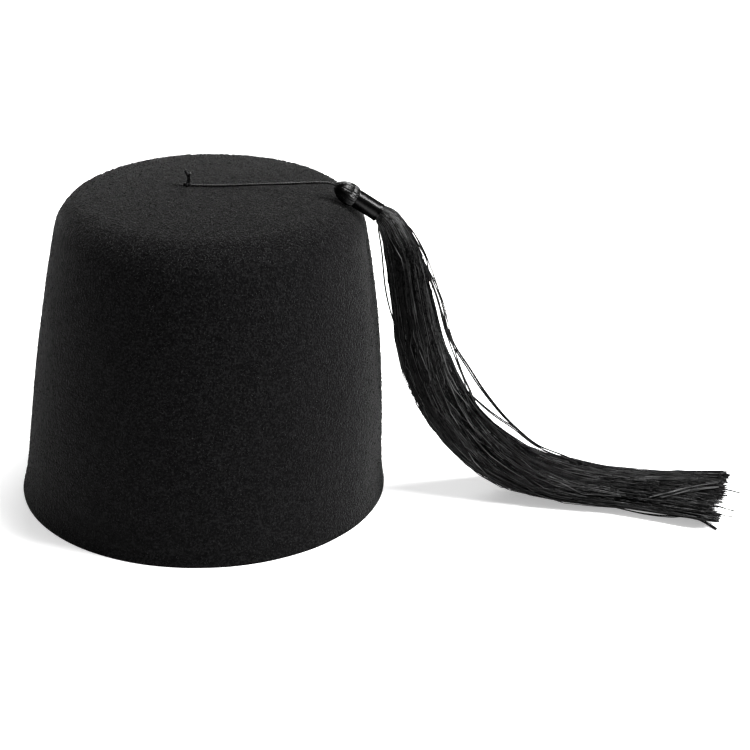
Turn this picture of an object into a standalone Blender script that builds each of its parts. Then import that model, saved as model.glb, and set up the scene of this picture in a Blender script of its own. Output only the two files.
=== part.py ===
"""A felt fez that stands on its rim, with a thin cord and a long silky tassel.

Metres, +Z up. The origin is on the table, in the middle of the crown's rim. The front of the hat
faces -Y. The tassel's head rests on the shoulder at +X, its skirt hangs outside the side of the
crown, and the lower part of the skirt lies on the table.
"""

import math

import bmesh
import bpy
from mathutils import Matrix, Vector

# The crown: one piece of blocked felt. Radii and heights are those of its outer face.
WALL = 0.0024
RIM_RADIUS = 0.0950
RIM_FLARE = 0.0030  # how far the rim turns out from the side
FLARE_HEIGHT = 0.0100  # the flare fades to about a third of itself over this height
SHOULDER_RADIUS = 0.0780  # where the side ends and the shoulder starts
SHOULDER_HEIGHT = 0.1420
SHOULDER_ARC = 0.0210
SIDE_BOW = 0.0032  # how far the side stands out from a straight line between its ends
TOP_RISE = 0.0050  # the low dome of the top, above the end of the shoulder
DOME_FIT_ROUNDS = 20  # the dome and the shoulder are fitted to each other in rounds
CROWN_LEAN = 0.0057  # the top's middle stands this far to +X of the rim's
CUT_EDGE_ROUND = 0.0006
CUT_EDGE_STEPS = 3
OUTER_STEPS = (11, 7, 4)  # rows of faces down the side, the shoulder and the top
INNER_STEPS = (8, 6, 3)
ROWS_CROWD_LOW = 1.5  # above 1, the side's rows stand closer together towards the rim
CROWN_STEPS = 72

# The knot on the top, where the cord is made fast, and its two cut ends
KNOT_PLACE = (-0.0060, -0.0032)
KNOT_SIZE = (0.0032, 0.0027, 0.0017)
KNOT_STEPS = (16, 10)  # faces round it and from its top to its foot
CORD_DIAMETER = 0.0012
STEM_FOOT = (-0.0004, 0.0, 0.0002)  # from the knot's middle
STEM_TOP = (0.0010, 0.0, 0.0046)
CUT_END_DIAMETER = 0.0010
CUT_END_OVERLAP = 0.0006  # how deep the cut ends start inside the stem
# a row for each cut end: how far its tip lies from the top of the stem
CUT_ENDS = (
    # x, y, z
    (-0.0017, 0.0000, 0.0027),
    (0.0003, 0.0005, 0.0021),
)

# The cord's route, from the knot to the tip of the tassel's head
CORD_ROUTE = (
    # x, y, z
    (-0.0040, -0.0032, 0.1646),
    (0.0040, -0.0041, 0.1647),
    (0.0150, -0.0053, 0.1650),
    (0.0300, -0.0070, 0.1660),
    (0.0455, -0.0088, 0.1669),
    (0.0545, -0.0098, 0.1675),
    (0.0605, -0.0105, 0.1678),
    (0.0636, -0.0108, 0.1677),
    (0.0654, -0.0110, 0.1673),
    (0.0666, -0.0111, 0.1669),
)
CORD_STEPS = 28

# The tassel's head and neck are turned about one line, which slopes down over the shoulder
HEAD_TIP = (0.0670, -0.0112, 0.1667)
HEAD_HEADING = -7.5  # degrees from +X, in plan
HEAD_SLOPE = 32.3  # degrees below level
HEAD_SECTIONS = (
    # distance from the tip, radius
    (0.0000, 0.0015),
    (0.0016, 0.0033),
    (0.0044, 0.0049),
    (0.0078, 0.0056),
    (0.0104, 0.0053),
    (0.0116, 0.0047),
)
HEAD_STEPS = 12
NECK_RADIUS = 0.0038
NECK_START = 0.0117  # distance from the tip
NECK_END = 0.0260  # distance from the tip
BINDING_RADIUS = 0.0048
BINDING_START = 0.0120
BINDING_END = 0.0256
BINDING_CORNER = 0.0003
TURNED_STEPS = 28

# The skirt of threads. Each row is one section across it: the section's middle, half of its
# thickness in the upright plane of the skirt, and half of its width across that plane.
SKIRT_SECTIONS = (
    # x, y, z, half thickness, half width
    (0.0880, -0.0140, 0.1530, 0.0030, 0.0030),
    (0.0900, -0.0140, 0.1520, 0.0045, 0.0045),
    (0.0940, -0.0145, 0.1480, 0.0065, 0.0070),
    (0.0980, -0.0150, 0.1380, 0.0085, 0.0095),
    (0.1020, -0.0150, 0.1250, 0.0100, 0.0110),
    (0.1060, -0.0155, 0.1050, 0.0110, 0.0125),
    (0.1100, -0.0160, 0.0850, 0.0120, 0.0140),
    (0.1160, -0.0165, 0.0670, 0.0130, 0.0145),
    (0.1280, -0.0180, 0.0440, 0.0130, 0.0150),
    (0.1450, -0.0200, 0.0250, 0.0125, 0.0170),
    (0.1660, -0.0225, 0.0125, 0.0100, 0.0190),
    (0.1900, -0.0270, 0.0075, 0.0070, 0.0205),
    (0.2150, -0.0345, 0.0065, 0.0060, 0.0185),
    (0.2400, -0.0420, 0.0070, 0.0065, 0.0210),
    (0.2580, -0.0465, 0.0070, 0.0065, 0.0250),
    (0.2650, -0.0480, 0.0070, 0.0065, 0.0265),
)
SKIRT_STEPS = 34
LOCK_COUNT = 12
LOCK_POINTS = 4  # points round the outer side of each lock
LOCK_SHARE = 0.36  # a lock's radius, as a share of the skirt's
LOCK_TURN = 25.0  # degrees that the locks turn round the skirt over its length
LOCKS_BEGIN = 0.05  # the share of the skirt's length where the locks start to part
LOCKS_FULL = 0.20  # and where they stand fully apart
# how far each lock reaches past the last section, in turn
LOCK_TIPS = (0.0040, 0.0010, 0.0030, -0.0010, 0.0025, 0.0045, 0.0005, -0.0020)
CUT_SLANT = 0.0060  # how much shorter the skirt is cut on its near side than on its far side

CLEARANCE = 0.0003  # between pieces that touch
SAME_POINT = 0.000001  # points this close together are one

FELT_BLACK = (0.012, 0.012, 0.013)
THREAD_BLACK = (0.008, 0.008, 0.009)


def clear_scene():
    """Remove every object that the file opened with."""
    for thing in list(bpy.data.objects):
        bpy.data.objects.remove(thing, do_unlink=True)


def make_collection(name):
    """A new collection in the scene."""
    collection = bpy.data.collections.new(name)
    bpy.context.scene.collection.children.link(collection)
    return collection


def make_material(name, colour, roughness, sheen=0.0):
    """A plain surface of one colour."""
    material = bpy.data.materials.new(name)
    material.use_nodes = True
    shader = material.node_tree.nodes["Principled BSDF"]
    shader.inputs["Base Color"].default_value = (*colour, 1.0)
    shader.inputs["Roughness"].default_value = roughness
    shader.inputs["Metallic"].default_value = 0.0
    shader.inputs["Sheen Weight"].default_value = sheen
    return material


def add_object(name, data, collection, material):
    """Link a mesh or a curve under a name, with its material."""
    thing = bpy.data.objects.new(name, data)
    data.materials.append(material)
    collection.objects.link(thing)
    return thing


def evaluated_mesh(thing, name):
    """The mesh that an object's modifiers make, with its seams closed."""
    graph = bpy.context.evaluated_depsgraph_get()
    mesh = bpy.data.meshes.new_from_object(thing.evaluated_get(graph))
    mesh.name = name
    work = bmesh.new()
    work.from_mesh(mesh)
    bmesh.ops.remove_doubles(work, verts=work.verts, dist=SAME_POINT)
    work.to_mesh(mesh)
    work.free()
    return mesh


def turned_mesh(name, profile, steps):
    """Turn a profile of (radius, height) points, top to bottom, about the Z axis."""
    line = bpy.data.meshes.new(name + "_profile")
    points = [(radius, 0.0, height) for radius, height in profile]
    line.from_pydata(points, [(i, i + 1) for i in range(len(points) - 1)], [])
    thing = bpy.data.objects.new(name + "_profile", line)
    bpy.context.scene.collection.objects.link(thing)
    screw = thing.modifiers.new("Turn", "SCREW")
    screw.steps = steps
    screw.render_steps = steps
    screw.use_merge_vertices = True
    screw.merge_threshold = SAME_POINT
    mesh = evaluated_mesh(thing, name)
    bpy.data.objects.remove(thing, do_unlink=True)
    return mesh


def smooth_shade(mesh, sharp_degrees=40.0):
    """Shade a mesh smooth, apart from its sharp edges."""
    mesh.shade_smooth()
    mesh.set_sharp_from_angle(angle=math.radians(sharp_degrees))


def smooth_rows(rows, count):
    """Rows read at even steps from the smooth curve through the given rows, column by column."""
    ends_added = [rows[0], *rows, rows[-1]]
    spans = len(rows) - 1
    read = []
    for step in range(count + 1):
        along = spans * step / count
        span = min(int(along), spans - 1)
        t = along - span
        before, start, end, after = ends_added[span : span + 4]
        read.append(
            tuple(
                0.5 * (2 * b + (c - a) * t + (2 * a - 5 * b + 4 * c - d) * t**2)
                + 0.5 * (3 * b - a - 3 * c + d) * t**3
                for a, b, c, d in zip(before, start, end, after)
            )
        )
    return read


# ---------------------------------------------------------------- the crown


def side_radius(height):
    """The outer radius of the crown's side at a height."""
    share = height / SHOULDER_HEIGHT
    body_radius = RIM_RADIUS - RIM_FLARE
    straight = body_radius + (SHOULDER_RADIUS - body_radius) * share
    bow = 4 * SIDE_BOW * share * (1 - share)
    return straight + bow + RIM_FLARE * math.exp(-height / FLARE_HEIGHT)


def side_angle(height):
    """How far the side's outward normal is tipped up from level at a height."""
    step = 0.0001
    return math.atan((side_radius(height) - side_radius(height + step)) / step)


def top_shape():
    """The shoulder's centre (radius, height), where its arc ends, and the dome's (radius, height)."""
    start = side_angle(SHOULDER_HEIGHT)
    centre_radius = SHOULDER_RADIUS - SHOULDER_ARC * math.cos(start)
    centre_height = SHOULDER_HEIGHT - SHOULDER_ARC * math.sin(start)
    dome_angle = 0.0
    for _ in range(DOME_FIT_ROUNDS):
        dome_edge = centre_radius + SHOULDER_ARC * math.sin(dome_angle)
        dome_angle = 2 * math.atan(TOP_RISE / dome_edge)
    dome_radius = dome_edge / math.sin(dome_angle)
    dome_centre = centre_height + (SHOULDER_ARC - dome_radius) * math.cos(dome_angle)
    return centre_radius, centre_height, dome_angle, dome_radius, dome_centre


def crown_face(inset, steps):
    """(radius, height) points from the top's middle to the rim, at a depth inside the outer face."""
    side_steps, shoulder_steps, dome_steps = steps
    centre_radius, centre_height, dome_angle, dome_radius, dome_centre = top_shape()
    start = side_angle(SHOULDER_HEIGHT)
    points = []
    for step in range(dome_steps):
        angle = dome_angle * step / dome_steps
        radius = dome_radius - inset
        points.append((radius * math.sin(angle), dome_centre + radius * math.cos(angle)))
    for step in range(shoulder_steps + 1):
        share = step / shoulder_steps
        angle = (math.pi / 2 - dome_angle) * (1 - share) + start * share
        radius = SHOULDER_ARC - inset
        points.append((centre_radius + radius * math.cos(angle), centre_height + radius * math.sin(angle)))
    for step in range(1, side_steps + 1):
        height = SHOULDER_HEIGHT * (1 - step / side_steps) ** ROWS_CROWD_LOW
        points.append((side_radius(height) - inset / math.cos(side_angle(height)), height))
    return points


def crown_lean(height):
    """How far the crown's middle stands to +X at a height: most of the lean is low down."""
    dome_radius, dome_centre = top_shape()[3:]
    share = min(height / (dome_centre + dome_radius), 1.0)
    return CROWN_LEAN * math.sin(math.pi / 2 * share)


def top_surface(x, y):
    """The height of the top's outer face above a place near its middle."""
    dome_radius, dome_centre = top_shape()[3:]
    return dome_centre + math.sqrt(dome_radius**2 - (x - CROWN_LEAN) ** 2 - y**2)


def make_crown(collection, material):
    """The felt shell: its outer face, the cut rim with softened corners, and its inner face."""
    outer = crown_face(0.0, OUTER_STEPS)
    inner = crown_face(WALL, INNER_STEPS)
    outer_rim = outer.pop()[0]
    inner_rim = inner.pop()[0]
    corner = []
    for step in range(CUT_EDGE_STEPS + 1):
        angle = math.pi / 2 * step / CUT_EDGE_STEPS
        corner.append((CUT_EDGE_ROUND * (1 - math.cos(angle)), CUT_EDGE_ROUND * (1 - math.sin(angle))))
    rim = [(outer_rim - out, height) for out, height in corner]
    rim += [(inner_rim + out, height) for out, height in corner[::-1]]
    mesh = turned_mesh("crown", outer + rim + inner[::-1], CROWN_STEPS)
    for vertex in mesh.vertices:
        vertex.co.x += crown_lean(vertex.co.z)
    smooth_shade(mesh)
    return add_object("crown", mesh, collection, material)


# ---------------------------------------------------------------- tubes and fused pieces


def make_tube(name, points, diameter, collection, material):
    """A round tube with flat ends along a line of points."""
    data = bpy.data.curves.new(name, "CURVE")
    data.dimensions = "3D"
    data.bevel_depth = diameter / 2
    data.bevel_resolution = 2
    data.use_fill_caps = True
    spline = data.splines.new("POLY")
    spline.points.add(len(points) - 1)
    for point, place in zip(spline.points, points):
        point.co = (*place, 1.0)
    return add_object(name, data, collection, material)


def fuse(name, pieces, collection, material):
    """Join overlapping solids into one, and remove the pieces that it was made from."""
    body = add_object(name, evaluated_mesh(pieces[0], name), collection, material)
    body.matrix_world = pieces[0].matrix_world
    for piece in pieces[1:]:
        cutter = bpy.data.objects.new(piece.name + "_joined", evaluated_mesh(piece, piece.name + "_joined"))
        cutter.matrix_world = piece.matrix_world
        bpy.context.scene.collection.objects.link(cutter)
        join = body.modifiers.new("Join", "BOOLEAN")
        join.operation = "UNION"
        join.object = cutter
        mesh = evaluated_mesh(body, name)
        body.modifiers.clear()
        body.data = mesh
        bpy.data.objects.remove(cutter, do_unlink=True)
    for piece in pieces:
        bpy.data.objects.remove(piece, do_unlink=True)
    smooth_shade(body.data)
    return body


# ---------------------------------------------------------------- the knot and the cord


def make_crown_knot(collection, material):
    """The knot, and the short stem on it that parts into two cut ends."""
    x, y = KNOT_PLACE
    middle = Vector((x, y, top_surface(x, y) + CLEARANCE + KNOT_SIZE[2] / 2))
    knot_mesh = bpy.data.meshes.new("knot_body")
    work = bmesh.new()
    bmesh.ops.create_uvsphere(work, u_segments=KNOT_STEPS[0], v_segments=KNOT_STEPS[1], radius=0.5)
    bmesh.ops.scale(work, vec=KNOT_SIZE, verts=work.verts)
    bmesh.ops.translate(work, vec=middle, verts=work.verts)
    work.to_mesh(knot_mesh)
    work.free()
    pieces = [add_object("knot_body", knot_mesh, collection, material)]
    foot = middle + Vector(STEM_FOOT)
    fork = middle + Vector(STEM_TOP)
    pieces.append(make_tube("knot_stem", [foot, fork], CORD_DIAMETER, collection, material))
    inside = fork - Vector((0.0, 0.0, CUT_END_OVERLAP))
    for number, reach in enumerate(CUT_ENDS):
        tip = fork + Vector(reach)
        pieces.append(make_tube(f"knot_end_{number}", [inside, tip], CUT_END_DIAMETER, collection, material))
    return fuse("crown_knot", pieces, collection, material)


def make_cord(collection, material):
    """The thin cord, read from the smooth curve through its route."""
    return make_tube("tassel_cord", smooth_rows(CORD_ROUTE, CORD_STEPS), CORD_DIAMETER, collection, material)


# ---------------------------------------------------------------- the tassel


def head_frame():
    """The matrix whose +Z runs from the neck up to the head's tip, where its origin is."""
    heading = math.radians(HEAD_HEADING)
    slope = math.radians(HEAD_SLOPE)
    level = math.cos(slope)
    down = Vector((level * math.cos(heading), level * math.sin(heading), -math.sin(slope)))
    turn = Vector((0.0, 0.0, 1.0)).rotation_difference(-down).to_matrix().to_4x4()
    return Matrix.Translation(HEAD_TIP) @ turn


def head_profile():
    """(radius, height) of the head and neck, from the tip down: an acorn shape, then a plain neck."""
    points = [(0.0, 0.0)]
    points += [(radius, -distance) for distance, radius in smooth_rows(HEAD_SECTIONS, HEAD_STEPS)]
    points.append((NECK_RADIUS, -NECK_START))
    points.append((NECK_RADIUS, -NECK_END))
    points.append((0.0, -NECK_END))
    return points


def lock_outline(angle):
    """How far the fused outline of the locks stands from the skirt's middle, with its reach as 1."""
    ring = 1.0 - LOCK_SHARE
    spacing = 2 * math.pi / LOCK_COUNT
    off = (angle + spacing / 2) % spacing - spacing / 2
    return ring * math.cos(off) + math.sqrt(LOCK_SHARE**2 - (ring * math.sin(off)) ** 2)


def make_skirt(collection, material):
    """The skirt: sections of fused locks laid along its route, each lock cut to its own length."""
    rows = smooth_rows(SKIRT_SECTIONS, SKIRT_STEPS)
    middles = [Vector(row[:3]) for row in rows]
    around = LOCK_COUNT * LOCK_POINTS
    rings = []
    for number, row in enumerate(rows):
        ahead = middles[min(number + 1, SKIRT_STEPS)] - middles[max(number - 1, 0)]
        ahead.normalize()
        across = Vector((ahead.y, -ahead.x, 0.0)).normalized()
        outward = across.cross(ahead)
        share = number / SKIRT_STEPS
        loosened = min(1.0, max(0.0, (share - LOCKS_BEGIN) / (LOCKS_FULL - LOCKS_BEGIN)))
        turned = math.radians(LOCK_TURN) * share
        ring = []
        for point in range(around):
            angle = 2 * math.pi * point / around
            reach = 1.0 + (lock_outline(angle) - 1.0) * loosened
            place = middles[number].copy()
            place += outward * (row[3] * reach * math.cos(angle + turned))
            place += across * (row[4] * reach * math.sin(angle + turned))
            if number == SKIRT_STEPS:
                lock = int((point + LOCK_POINTS / 2) // LOCK_POINTS) % LOCK_COUNT
                near_side = (1 + math.sin(angle + turned)) / 2
                place += ahead * (LOCK_TIPS[lock % len(LOCK_TIPS)] - CUT_SLANT * near_side)
            ring.append(place)
        rings.append(ring)
    work = bmesh.new()
    loops = [[work.verts.new(place) for place in ring] for ring in rings]
    for loop, after in zip(loops, loops[1:]):
        for point in range(around):
            beside = (point + 1) % around
            work.faces.new((loop[point], loop[beside], after[beside], after[point]))
    for loop, middle in ((loops[0], middles[0]), (loops[-1], middles[-1])):
        centre = work.verts.new(middle)
        for point in range(around):
            work.faces.new((loop[point], centre, loop[(point + 1) % around]))
    bmesh.ops.recalc_face_normals(work, faces=work.faces)
    mesh = bpy.data.meshes.new("skirt")
    work.to_mesh(mesh)
    work.free()
    return add_object("skirt", mesh, collection, material)


def make_tassel(collection, material):
    """The head and neck, turned as one, with the locks of the skirt fused to the neck."""
    head = add_object("head", turned_mesh("head", head_profile(), TURNED_STEPS), collection, material)
    head.matrix_world = head_frame()
    bpy.context.view_layer.update()
    return fuse("tassel", [make_skirt(collection, material), head], collection, material)


def make_neck_binding(collection, material):
    """The thread wound round the neck, as a sleeve with rounded ends."""
    inner = NECK_RADIUS + CLEARANCE
    profile = [
        (inner, -BINDING_START),
        (BINDING_RADIUS - BINDING_CORNER, -BINDING_START),
        (BINDING_RADIUS, -BINDING_START - BINDING_CORNER),
        (BINDING_RADIUS, -BINDING_END + BINDING_CORNER),
        (BINDING_RADIUS - BINDING_CORNER, -BINDING_END),
        (inner, -BINDING_END),
        (inner, -BINDING_START),
    ]
    mesh = turned_mesh("neck_binding", profile, TURNED_STEPS)
    smooth_shade(mesh)
    binding = add_object("neck_binding", mesh, collection, material)
    binding.matrix_world = head_frame()
    return binding


clear_scene()
fez = make_collection("Fez")
felt = make_material("black felt", FELT_BLACK, roughness=0.95, sheen=0.3)
thread = make_material("black tassel thread", THREAD_BLACK, roughness=0.35)
make_crown(fez, felt)
make_crown_knot(fez, thread)
make_cord(fez, thread)
make_tassel(fez, thread)
make_neck_binding(fez, thread)
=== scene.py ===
"""The finish of a black felt fez: felt, twisted cord, wound binding and a skirt of silky threads."""

import math

import bpy
import numpy as np
from mathutils import Matrix, Vector


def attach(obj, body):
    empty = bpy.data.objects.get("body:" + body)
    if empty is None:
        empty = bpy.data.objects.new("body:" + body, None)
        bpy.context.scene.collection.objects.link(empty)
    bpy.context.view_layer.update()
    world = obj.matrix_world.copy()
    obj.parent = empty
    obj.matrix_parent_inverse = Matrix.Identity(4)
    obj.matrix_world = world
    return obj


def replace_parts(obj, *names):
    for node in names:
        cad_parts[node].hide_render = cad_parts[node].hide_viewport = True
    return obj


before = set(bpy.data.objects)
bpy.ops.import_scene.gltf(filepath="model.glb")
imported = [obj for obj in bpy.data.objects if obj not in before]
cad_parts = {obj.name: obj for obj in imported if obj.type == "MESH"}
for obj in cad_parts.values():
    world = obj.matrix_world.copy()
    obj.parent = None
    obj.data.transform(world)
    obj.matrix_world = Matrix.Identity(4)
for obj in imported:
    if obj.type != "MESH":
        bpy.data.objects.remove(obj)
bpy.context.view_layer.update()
bpy.ops.object.select_all(action="DESELECT")

# ---------------------------------------------------------------- camera, table and light
# The camera stands a metre in front of the hat and looks down on its top. The hat stands left of
# the picture's middle, so that the tassel has room on the right. The table is a plain pale sheet
# that glows a little. Soft lights stand above the hat, on its right, low on its left and behind it,
# and a wide one keeps the far part of the table bright.

PHOTO_SIDE = 750
LENS_MM = 96.0
SENSOR_MM = 36.0
CAMERA_DISTANCE = 1.065
CAMERA_ELEVATION = math.radians(27.8)
CAMERA_ROLL = math.radians(-1.27)
RIM_MIDDLE_PIXEL = (205.0, 477.4)

eye = Vector((0.0, -math.cos(CAMERA_ELEVATION), math.sin(CAMERA_ELEVATION))) * CAMERA_DISTANCE
pixel = SENSOR_MM / LENS_MM / PHOTO_SIDE
rim_middle = Vector((
    (RIM_MIDDLE_PIXEL[0] - PHOTO_SIDE / 2) * pixel,
    (PHOTO_SIDE / 2 - RIM_MIDDLE_PIXEL[1]) * pixel,
    -1.0,
))
aim = (-eye).to_track_quat("-Z", "Y").to_matrix()
roll = Matrix.Rotation(CAMERA_ROLL, 3, "Z")
turn_aside = rim_middle.rotation_difference(Vector((0.0, 0.0, -1.0))).to_matrix()
bpy.ops.object.camera_add(location=eye)
camera = bpy.context.object
camera.name = "photo_camera"
camera.matrix_world = Matrix.Translation(eye) @ (aim @ roll @ turn_aside).to_4x4()
camera.data.lens = LENS_MM
camera.data.sensor_width = SENSOR_MM
camera.data.sensor_fit = "HORIZONTAL"
camera.data.clip_start = 0.01
bpy.context.scene.camera = camera

TABLE_SIDE = 8.0
TABLE_COLOUR = (0.88, 0.88, 0.88, 1.0)
TABLE_ROUGHNESS = 0.9
TABLE_GLOW = 0.40
WHITE = (1.0, 1.0, 1.0, 1.0)
bpy.ops.mesh.primitive_plane_add(size=TABLE_SIDE, location=(0.0, 0.0, 0.0))
table = bpy.context.object
table.name = "table_top"
table_paint = bpy.data.materials.new("pale table")
table_paint.use_nodes = True
table_shader = table_paint.node_tree.nodes["Principled BSDF"]
table_shader.inputs["Base Color"].default_value = TABLE_COLOUR
table_shader.inputs["Roughness"].default_value = TABLE_ROUGHNESS
table_shader.inputs["Emission Color"].default_value = WHITE
table_shader.inputs["Emission Strength"].default_value = TABLE_GLOW
table.data.materials.append(table_paint)


def add_soft_light(name, place, aimed_at, size, watts):
    """A square soft light that faces a point."""
    way = Vector(aimed_at) - Vector(place)
    bpy.ops.object.light_add(type="AREA", location=place, rotation=way.to_track_quat("-Z", "Y").to_euler())
    lamp = bpy.context.object
    lamp.name = name
    lamp.data.shape = "SQUARE"
    lamp.data.size = size
    lamp.data.energy = watts


HAT_MIDDLE = (0.04, 0.0, 0.08)
add_soft_light("light_above", (0.40, 0.08, 1.28), HAT_MIDDLE, 0.40, 27.0)
add_soft_light("light_right", (1.06, -0.34, 0.92), HAT_MIDDLE, 0.40, 31.0)
add_soft_light("light_left", (-1.10, 0.62, 0.60), HAT_MIDDLE, 0.80, 3.6)
add_soft_light("light_behind", (0.15, 1.15, 0.70), HAT_MIDDLE, 0.60, 9.0)
add_soft_light("light_far", (0.10, 1.10, 1.00), (0.10, 2.00, 0.00), 1.20, 18.0)

SURROUND_STRENGTH = 0.36
surround = bpy.data.worlds.new("studio")
surround.use_nodes = True
surround.node_tree.nodes["Background"].inputs["Color"].default_value = WHITE
surround.node_tree.nodes["Background"].inputs["Strength"].default_value = SURROUND_STRENGTH
bpy.context.scene.world = surround
surround.cycles_visibility.glossy = False
bpy.context.scene.view_settings.view_transform = "Standard"

# ---------------------------------------------------------------- the twisted cord
# A thin cord of two silky plies, twisted together. It leaves the knot on the top, crosses to the
# right just above the felt, and goes into the tip of the tassel's head, which lifts it.

CORD_DIAMETER = 0.0014
CORD_TWIST_LENGTH = 0.0026
CORD_CORNERS = 14
CORD_WAIST = 0.82  # the section's least width between its two plies, as a share of the diameter
CORD_ROWS = 200
CORD_SPACING = 0.0002
CORD_ROUTE = (
    # x, y, z
    (-0.0040, -0.0032, 0.1646),
    (0.0040, -0.0041, 0.1647),
    (0.0150, -0.0053, 0.1650),
    (0.0300, -0.0070, 0.1660),
    (0.0455, -0.0088, 0.1669),
    (0.0545, -0.0098, 0.1675),
    (0.0605, -0.0105, 0.1678),
    (0.0636, -0.0108, 0.1677),
    (0.0654, -0.0110, 0.1673),
    (0.0666, -0.0111, 0.1669),
)


def smooth_rows(rows, count):
    """Rows read at even steps from the smooth curve through the given rows, column by column."""
    rows = np.array(rows, float)
    rows = np.vstack([rows[:1], rows, rows[-1:]])
    along = np.linspace(0.0, len(rows) - 3, count + 1)
    span = np.minimum(along.astype(int), len(rows) - 4)
    t = (along - span)[:, None]
    before, start, end, after = (rows[span + step] for step in range(4))
    near = 2 * start + (end - before) * t + (2 * before - 5 * start + 4 * end - after) * t**2
    return 0.5 * (near + (3 * start - before - 3 * end + after) * t**3)


def even_line(points, spacing):
    """The same line with its points an even distance apart."""
    steps = np.linalg.norm(np.diff(points, axis=0), axis=1)
    along = np.concatenate([[0.0], np.cumsum(steps)])
    places = np.linspace(0.0, along[-1], max(2, round(along[-1] / spacing) + 1))
    return np.column_stack([np.interp(places, along, points[:, axis]) for axis in range(3)])


def unit(vectors):
    """Vectors of length one."""
    return vectors / np.linalg.norm(vectors, axis=-1, keepdims=True)


def tube_mesh(name, lines, radii, outline, turns, sideways, shades):
    """One mesh of tubes, all with the same number of points.

    lines is tubes x points x 3, radii and turns are tubes x points, outline gives the section's
    reach at each of its corners, and sideways is a direction that no tube runs along. shades is tubes
    x 1 or tubes x points, and the material reads it. The UV map holds metres along, and turns round
    added to the tube's number.
    """
    tubes, points, _ = lines.shape
    corners = len(outline)
    ahead = unit(np.gradient(lines, axis=1))
    side = unit(np.cross(ahead, np.broadcast_to(sideways, ahead.shape)))
    other = np.cross(ahead, side)
    angle = 2 * np.pi * np.arange(corners) / corners + turns[..., None]
    reach = radii[..., None] * np.asarray(outline)
    places = lines[:, :, None, :] + (reach * np.cos(angle))[..., None] * side[:, :, None, :]
    places = places + (reach * np.sin(angle))[..., None] * other[:, :, None, :]
    number = np.arange(tubes * points * corners).reshape(tubes, points, corners)
    here, beside = number[:, :-1], np.roll(number, -1, axis=2)[:, :-1]
    there, diagonal = number[:, 1:], np.roll(number, -1, axis=2)[:, 1:]
    walls = np.stack([here, beside, diagonal, there], axis=-1).reshape(-1, 4)
    ends = np.concatenate([number[:, 0, ::-1], number[:, -1, :]])
    mesh = bpy.data.meshes.new(name)
    mesh.vertices.add(number.size)
    mesh.vertices.foreach_set("co", places.astype(np.float32).ravel())
    mesh.loops.add(walls.size + ends.size)
    mesh.loops.foreach_set("vertex_index", np.concatenate([walls.ravel(), ends.ravel()]).astype(np.int32))
    sizes = np.concatenate([np.full(len(walls), 4), np.full(len(ends), corners)])
    mesh.polygons.add(len(sizes))
    starts = np.concatenate([[0], np.cumsum(sizes)[:-1]])
    mesh.polygons.foreach_set("loop_start", starts.astype(np.int32))
    mesh.update(calc_edges=True)
    mesh.validate()
    run = np.cumsum(np.linalg.norm(np.diff(lines, axis=1, prepend=lines[:, :1]), axis=2), axis=1)
    run = np.broadcast_to(run[..., None], number.shape).ravel()
    round_share = np.broadcast_to(
        np.arange(tubes)[:, None, None] + np.arange(corners) / corners, number.shape
    ).ravel()
    used = np.empty(len(mesh.loops), np.int32)
    mesh.loops.foreach_get("vertex_index", used)
    mesh.uv_layers.new(name="thread_map").data.foreach_set(
        "uv", np.column_stack([run[used], round_share[used]]).astype(np.float32).ravel()
    )
    shade = mesh.attributes.new("thread_shade", "FLOAT", "POINT")
    shades = np.broadcast_to(shades, (tubes, points))
    shade.data.foreach_set("value", np.repeat(shades, corners).astype(np.float32))
    mesh.shade_smooth()
    return mesh


def add_piece(name, mesh, material):
    """An object for a finished mesh, at the origin, that moves with the hat."""
    piece = bpy.data.objects.new(name, mesh)
    mesh.materials.append(material)
    bpy.context.scene.collection.objects.link(piece)
    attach(piece, "root")
    return piece


def add_node(material, kind, inputs, **settings):
    """The outputs of a new shader node. Each input is given a value, or another node's output."""
    node = material.node_tree.nodes.new("ShaderNode" + kind)
    for setting, value in settings.items():
        setattr(node, setting, value)
    for socket, given in inputs.items():
        if isinstance(given, bpy.types.NodeSocket):
            material.node_tree.links.new(given, node.inputs[socket])
        else:
            node.inputs[socket].default_value = given
    return node.outputs


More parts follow.
